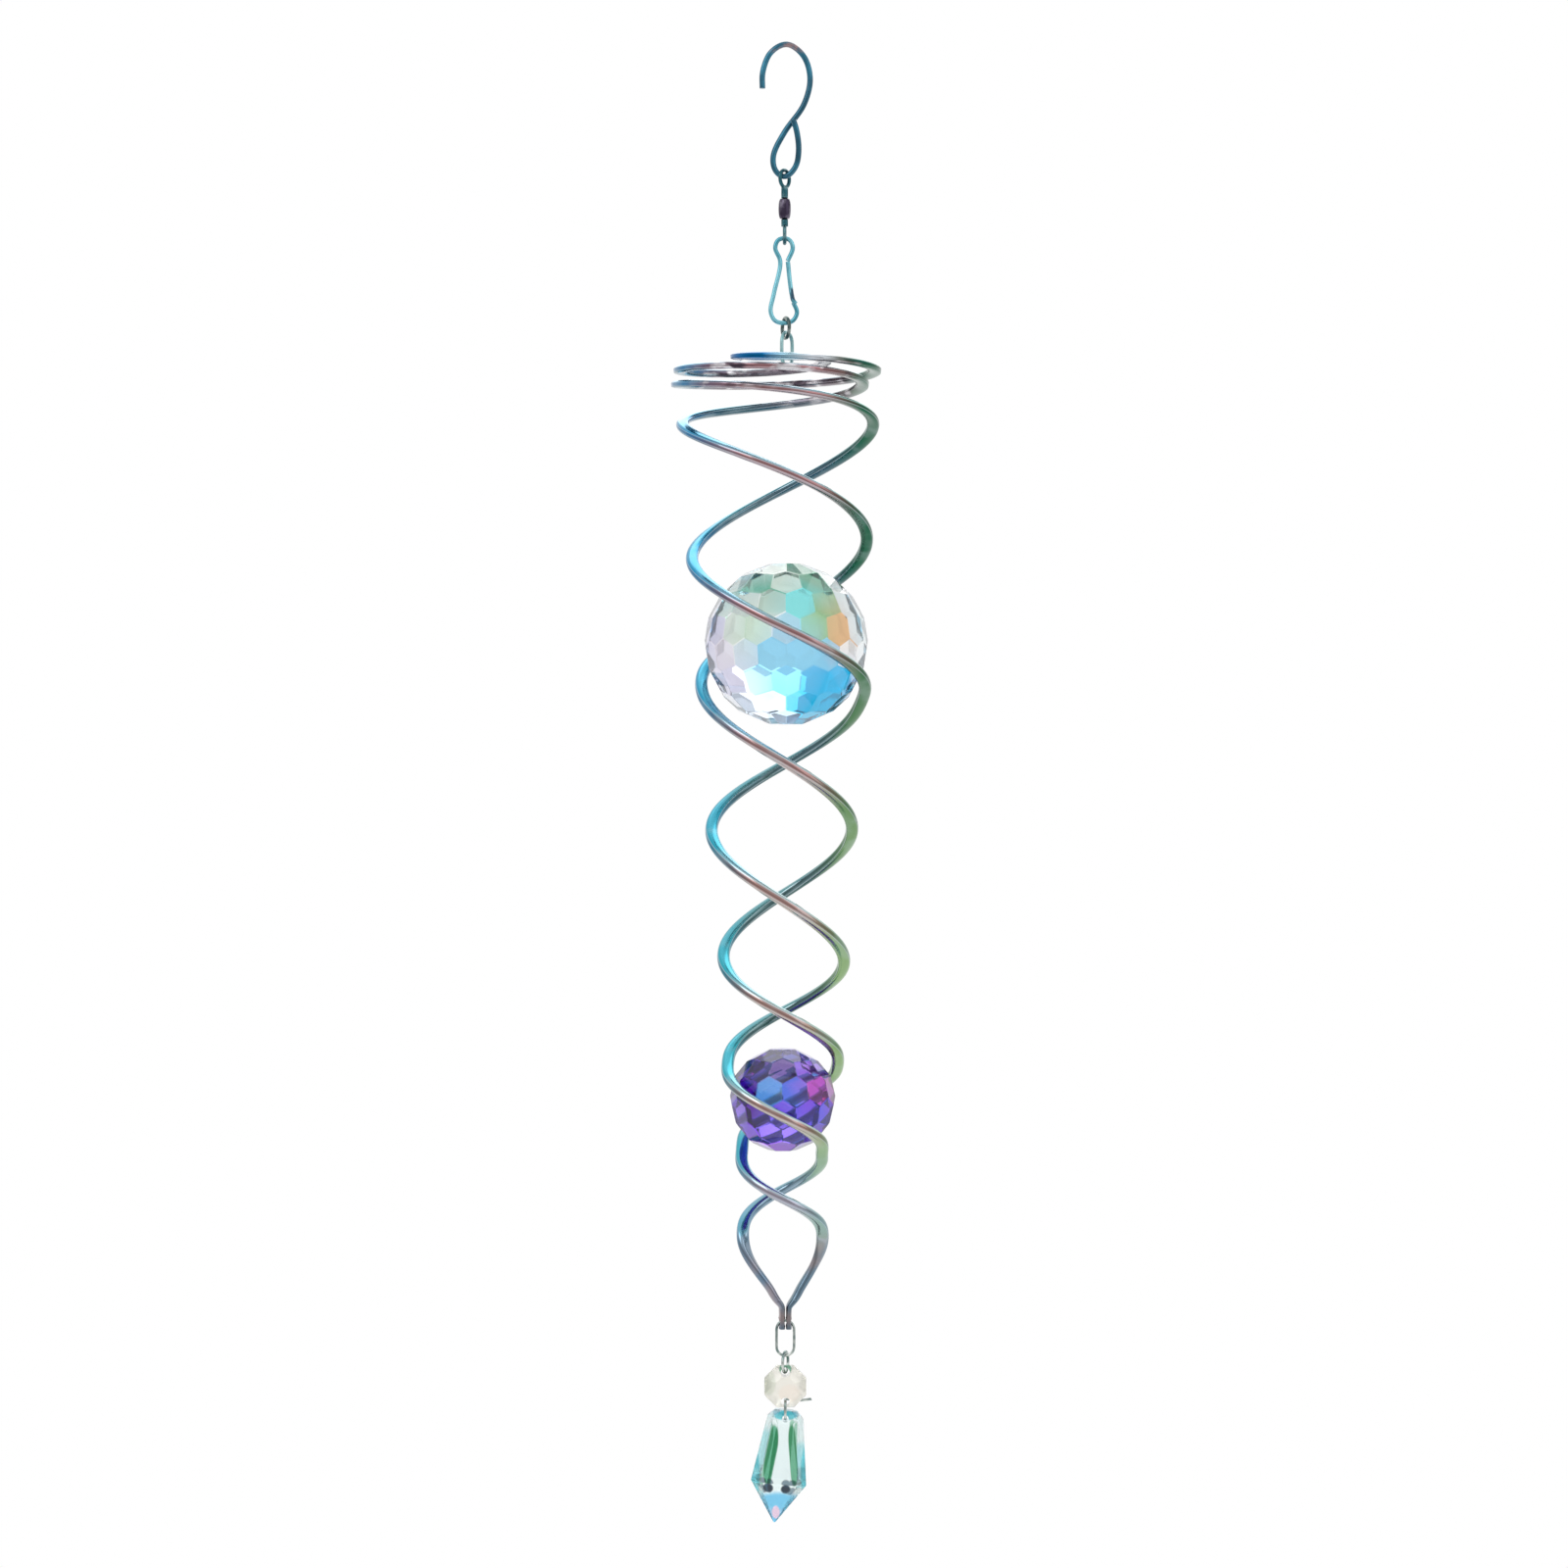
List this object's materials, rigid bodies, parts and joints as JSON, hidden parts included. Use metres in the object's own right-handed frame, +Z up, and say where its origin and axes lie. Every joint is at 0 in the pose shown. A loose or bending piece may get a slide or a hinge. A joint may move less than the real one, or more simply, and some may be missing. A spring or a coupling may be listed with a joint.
{
  "type": "hanging crystal wind spinner",
  "caption": "Hanging wind spinner: S-hook, swivel, snap and links carry a left-handed two-arm steel spiral with two cut crystal balls, a bead and an icicle drop.",
  "frame": {"origin": "inside top of the S-hook's arch, where the spinner hangs", "axes": "+Z up along the spinner, -Y is its front, +X to the right seen from the front"},
  "size_m": [0.0649, 0.0625, 0.4537],
  "materials": {
    "blue_steel": "blue-green lacquered steel wire, satin gloss",
    "aqua_steel": "light aqua lacquered steel wire, glossy",
    "dark_nickel": "dark nickel plate, satin",
    "polished_steel": "mirror-polished stainless steel",
    "clear_crystal": "clear cut crystal, polished facets, faint aqua",
    "violet_crystal": "violet cut crystal, polished facets"
  },
  "bodies": {
    "hook": {"s_hook": "blue_steel"},
    "top_eye": {"swivel_top_eye": "dark_nickel"},
    "barrel": {"swivel_barrel": "dark_nickel"},
    "bottom_eye": {"swivel_bottom_eye": "dark_nickel"},
    "snap": {"snap_body": "aqua_steel"},
    "gate": {"snap_gate": "aqua_steel"},
    "link_1": {"top_link_1": "dark_nickel"},
    "link_2": {"top_link_2": "aqua_steel"},
    "spinner": {"spiral": "polished_steel", "large_crystal_ball": "clear_crystal", "small_crystal_ball": "violet_crystal"},
    "lower_link": {"lower_link": "polished_steel"},
    "bead_link": {"bead_link": "polished_steel"},
    "bead": {"crystal_bead": "clear_crystal"},
    "pin": {"bead_pin": "polished_steel"},
    "drop": {"crystal_drop": "clear_crystal"}
  },
  "joints": [
    {"name": "hook_swing", "type": "hinge", "parent": "hook", "child": "top_eye", "pos_m": [-0.0007, 0, -0.0398], "axis": [1, 0, 0], "range_deg": [-30, 20]},
    {"name": "barrel_spin", "type": "hinge", "parent": "top_eye", "child": "barrel", "pos_m": [-0.0007, 0, -0.0466], "axis": [0, 0, 1], "continuous": true},
    {"name": "eye_spin", "type": "hinge", "parent": "barrel", "child": "bottom_eye", "pos_m": [-0.0007, 0, -0.0525], "axis": [0, 0, 1], "continuous": true},
    {"name": "snap_swing", "type": "hinge", "parent": "bottom_eye", "child": "snap", "pos_m": [-0.0007, 0, -0.0601], "axis": [0, 1, 0], "range_deg": [-20, 20]},
    {"name": "gate_press", "type": "hinge", "parent": "snap", "child": "gate", "pos_m": [0.00025, 0, -0.0656], "axis": [0, 1, 0], "range_deg": [0, 12], "stiffness_Nm_per_rad": 0.1},
    {"name": "link_1_swing", "type": "hinge", "parent": "snap", "child": "link_1", "pos_m": [-0.0009, 0, -0.0845], "axis": [1, 0, 0], "range_deg": [-25, 25]},
    {"name": "link_2_swing", "type": "hinge", "parent": "link_1", "child": "link_2", "pos_m": [-0.00035, 0, -0.0891], "axis": [-0.342, 0.9397, 0], "range_deg": [-18, 15]},
    {"name": "spiral_swing", "type": "hinge", "parent": "link_2", "child": "spinner", "pos_m": [0, 0, -0.0949], "axis": [1, 0, 0], "range_deg": [-25, 25]},
    {"name": "lower_link_swing", "type": "hinge", "parent": "spinner", "child": "lower_link", "pos_m": [-0.0005, 0, -0.3902], "axis": [1, 0, 0], "range_deg": [-35, 35]},
    {"name": "bead_link_swing", "type": "hinge", "parent": "lower_link", "child": "bead_link", "pos_m": [-0.0005, 0, -0.4006], "axis": [1, 0, 0], "range_deg": [-25, 25]},
    {"name": "bead_swing", "type": "hinge", "parent": "bead_link", "child": "bead", "pos_m": [-0.0005, 0, -0.405], "axis": [0, 1, 0], "range_deg": [-20, 20]},
    {"name": "pin_swing", "type": "hinge", "parent": "bead", "child": "pin", "pos_m": [-0.0005, 0, -0.4144], "axis": [0, 1, 0], "range_deg": [-8, 3]},
    {"name": "drop_swing", "type": "hinge", "parent": "pin", "child": "drop", "pos_m": [-0.0005, 0, -0.4195], "axis": [0, 1, 0], "range_deg": [-10, 4]}
  ]
}
